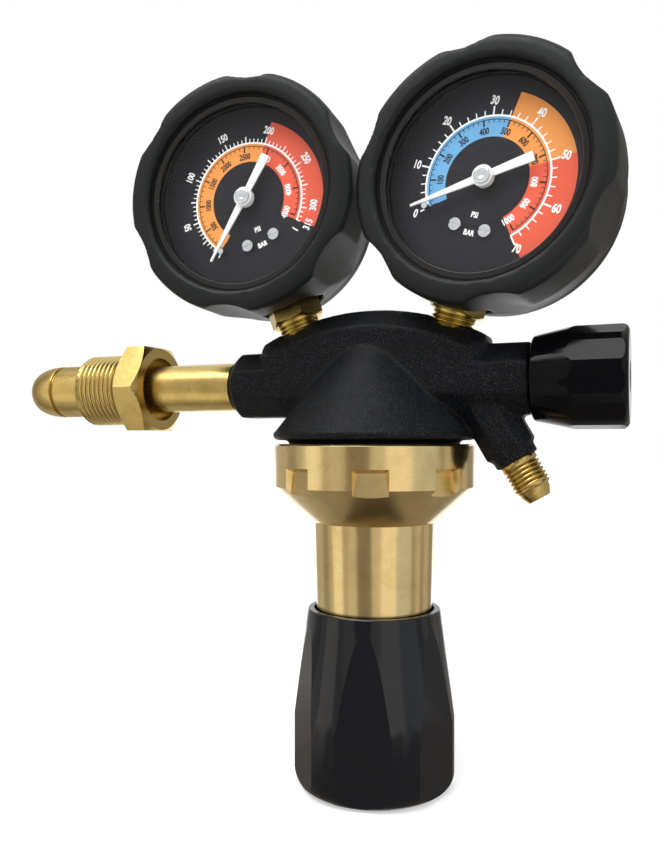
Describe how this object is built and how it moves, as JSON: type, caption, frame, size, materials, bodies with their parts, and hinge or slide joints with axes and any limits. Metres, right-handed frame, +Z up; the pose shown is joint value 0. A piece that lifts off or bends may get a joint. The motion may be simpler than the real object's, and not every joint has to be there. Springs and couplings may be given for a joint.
{
  "type": "gas pressure regulator",
  "caption": "Two-gauge cylinder pressure regulator with bullet-nose inlet nut, flared branch outlet, adjusting knob and shut-off valve",
  "frame": {"origin": "middle of the inlet nut's outside thread, on the gas passage's axis", "axes": "+X from the inlet to the outlet valve, +Y to the back, away from the dials, +Z up along the bonnet axis"},
  "size_m": [0.2054, 0.063, 0.2195],
  "materials": {
    "cast_body": "black cast casting with a fine speckled coat",
    "turned_brass": "bright turned brass",
    "hex_brass": "yellow brass stem",
    "sintered_bronze": "dull sintered bronze",
    "seat_plastic": "white seat plastic",
    "spring_steel": "bright spring wire",
    "zinc_steel": "zinc-plated steel",
    "black_rubber": "black nitrile rubber",
    "boot_rubber": "matt grey-black moulded rubber",
    "knob_plastic": "gloss black moulded plastic",
    "valve_knob_plastic": "gloss black moulded plastic",
    "case_steel": "black painted steel case",
    "dial_print": "charcoal dial with white print and coloured bands",
    "pointer_white": "white pointer",
    "bright_screw": "bright nickel",
    "lens_glass": "clear polycarbonate lens",
    "ring_black": "black lens ring"
  },
  "bodies": {
    "root": {"body": "cast_body", "inlet_stem": "turned_brass", "inlet_filter": "sintered_bronze", "outlet_fitting": "turned_brass", "seat_nozzle": "turned_brass", "diaphragm": "black_rubber", "slip_ring": "turned_brass", "bonnet": "turned_brass", "packing_ring": "seat_plastic", "packing_nut": "turned_brass", "poppet_spring": "spring_steel", "main_spring": "spring_steel", "high_socket": "hex_brass", "high_case": "case_steel", "high_boot": "boot_rubber", "high_dial": "dial_print", "high_dial_screws": "bright_screw", "high_stop_pin": "bright_screw", "high_movement_plates": "turned_brass", "high_bourdon_tube": "hex_brass", "high_lens_seal": "black_rubber", "high_lens": "lens_glass", "high_front_ring": "ring_black", "low_socket": "hex_brass", "low_case": "case_steel", "low_boot": "boot_rubber", "low_dial": "dial_print", "low_dial_screws": "bright_screw", "low_stop_pin": "bright_screw", "low_movement_plates": "turned_brass", "low_bourdon_tube": "hex_brass", "low_lens_seal": "black_rubber", "low_lens": "lens_glass", "low_front_ring": "ring_black"},
    "inlet_nut": {"inlet_nut": "turned_brass"},
    "poppet": {"poppet": "seat_plastic", "push_pin": "zinc_steel"},
    "diaphragm_plate": {"diaphragm_plate": "zinc_steel"},
    "spring_button": {"spring_button": "zinc_steel"},
    "adjusting_knob": {"adjusting_screw": "zinc_steel", "adjusting_knob": "knob_plastic", "knob_nut": "zinc_steel", "knob_cap": "knob_plastic"},
    "valve_disc": {"valve_disc": "seat_plastic"},
    "valve_knob": {"valve_spindle": "turned_brass", "valve_knob": "valve_knob_plastic", "valve_knob_screw": "zinc_steel"},
    "high_pointer": {"high_pointer": "pointer_white", "high_arbor": "turned_brass"},
    "high_sector": {"high_sector": "turned_brass"},
    "high_link": {"high_link": "zinc_steel"},
    "low_pointer": {"low_pointer": "pointer_white", "low_arbor": "turned_brass"},
    "low_sector": {"low_sector": "turned_brass"},
    "low_link": {"low_link": "zinc_steel"}
  },
  "joints": [
    {"name": "inlet_nut_spin", "type": "hinge", "parent": "root", "child": "inlet_nut", "pos_m": [0, 0, 0], "axis": [1, 0, 0], "continuous": true},
    {"name": "diaphragm_lift", "type": "slide", "parent": "root", "child": "diaphragm_plate", "axis": [0, 0, 1], "range_m": [0, 0.0008], "stiffness_N_per_m": 1500, "deforming": ["diaphragm", "poppet_spring"]},
    {"name": "poppet_lift", "type": "slide", "parent": "root", "child": "poppet", "axis": [0, 0, 1], "range_m": [0, 0.00085]},
    {"name": "screw_advance", "type": "slide", "parent": "root", "child": "spring_button", "axis": [0, 0, 1], "range_m": [0, 0.01], "deforming": ["main_spring"]},
    {"name": "adjusting_knob_turn", "type": "hinge", "parent": "spring_button", "child": "adjusting_knob", "pos_m": [0.0974, 0, -0.0967], "axis": [0, 0, 1], "range_deg": [0, 1801]},
    {"name": "valve_stem_travel", "type": "slide", "parent": "root", "child": "valve_disc", "axis": [1, 0, 0], "range_m": [0, 0.00375]},
    {"name": "valve_knob_turn", "type": "hinge", "parent": "valve_disc", "child": "valve_knob", "pos_m": [0.1596, 0, 0], "axis": [1, 0, 0], "range_deg": [0, 1081]},
    {"name": "high_pointer_turn", "type": "hinge", "parent": "root", "child": "high_pointer", "pos_m": [0.05818, 0, 0.05839], "axis": [-0.0494, 0.9986, -0.0174], "range_deg": [0, 262]},
    {"name": "high_sector_turn", "type": "hinge", "parent": "root", "child": "high_sector", "pos_m": [0.07344, 0.00085, 0.06377], "axis": [-0.0494, 0.9986, -0.0174], "range_deg": [-33, 0]},
    {"name": "high_link_turn", "type": "hinge", "parent": "high_sector", "child": "high_link", "pos_m": [0.07743, 0.00105, 0.06397], "axis": [-0.0494, 0.9986, -0.0174], "range_deg": [0, 33]},
    {"name": "low_pointer_turn", "type": "hinge", "parent": "root", "child": "low_pointer", "pos_m": [0.13562, 0, 0.05556], "axis": [0.1068, 0.9936, -0.0376], "range_deg": [0, 262]},
    {"name": "low_sector_turn", "type": "hinge", "parent": "root", "child": "low_sector", "pos_m": [0.1508, -0.00183, 0.05021], "axis": [0.1068, 0.9936, -0.0376], "range_deg": [-33, 0]},
    {"name": "low_link_turn", "type": "hinge", "parent": "low_sector", "child": "low_link", "pos_m": [0.15402, -0.00227, 0.04788], "axis": [0.1068, 0.9936, -0.0376], "range_deg": [0, 33]}
  ],
  "couplings": [
    {"joint": "poppet_lift", "follows": "diaphragm_lift", "ratio": 1},
    {"joint": "adjusting_knob_turn", "follows": "screw_advance", "rad_per_m": 3141.6},
    {"joint": "valve_knob_turn", "follows": "valve_stem_travel", "rad_per_m": 5026.5},
    {"joint": "high_sector_turn", "follows": "high_pointer_turn", "ratio": -0.125},
    {"joint": "high_link_turn", "follows": "high_pointer_turn", "ratio": 0.125},
    {"joint": "low_sector_turn", "follows": "low_pointer_turn", "ratio": -0.125},
    {"joint": "low_link_turn", "follows": "low_pointer_turn", "ratio": 0.125}
  ]
}
